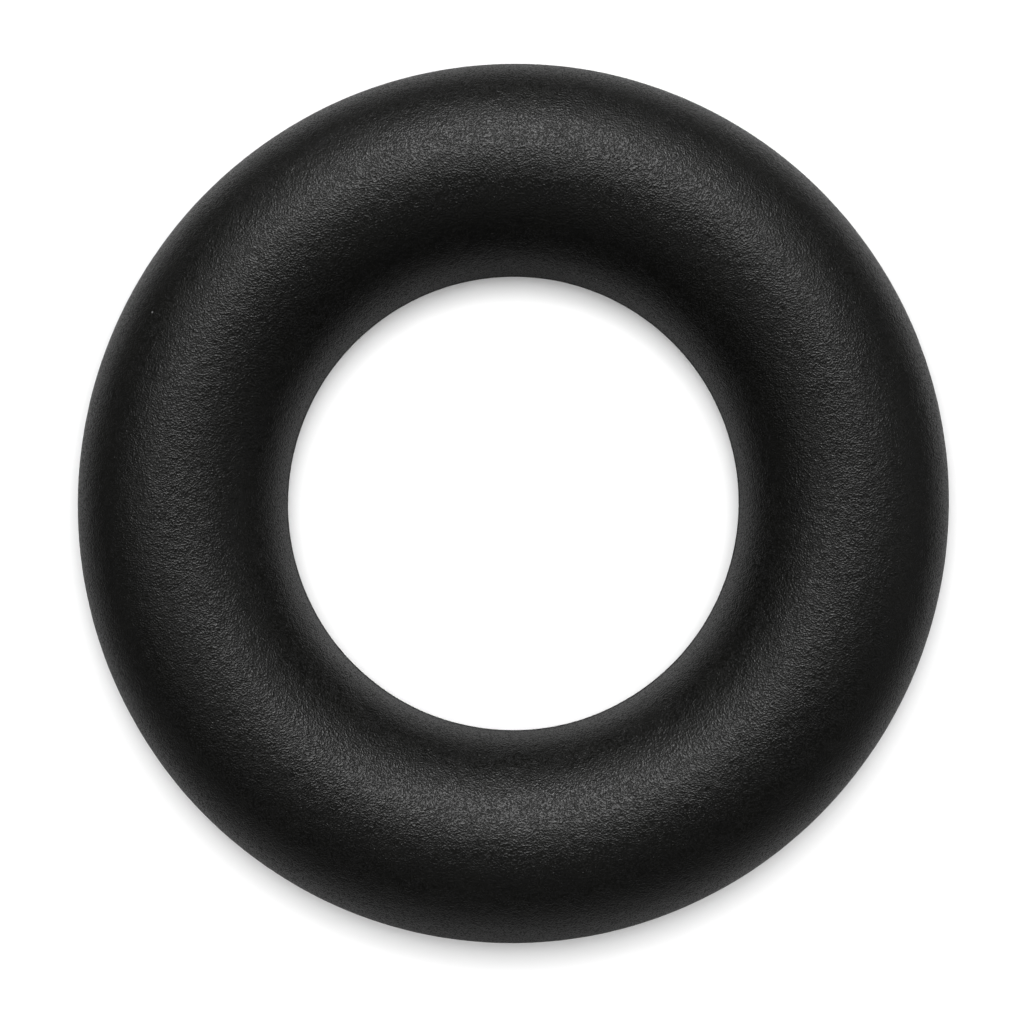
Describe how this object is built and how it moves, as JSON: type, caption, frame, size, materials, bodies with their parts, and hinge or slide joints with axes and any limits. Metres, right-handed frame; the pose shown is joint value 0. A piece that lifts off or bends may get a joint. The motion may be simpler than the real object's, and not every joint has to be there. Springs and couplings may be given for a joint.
{
  "type": "o-ring",
  "caption": "Black rubber o-ring of round section with a fine parting ridge round its bore and its outside; it seals a groove on a shaft, in a housing or under a flat cover.",
  "frame": {"origin": "the ring's centre, on the mid-plane where the two mould halves met", "axes": "+Z along the ring's axis; X and Y in the mid-plane, where any direction is the same; the ring lies flat on its lower crown"},
  "size_m": [0.0146, 0.0146, 0.0036],
  "materials": {
    "rubber": "matte"
  },
  "bodies": {
    "root": {"o_ring": "rubber"}
  },
  "joints": []
}
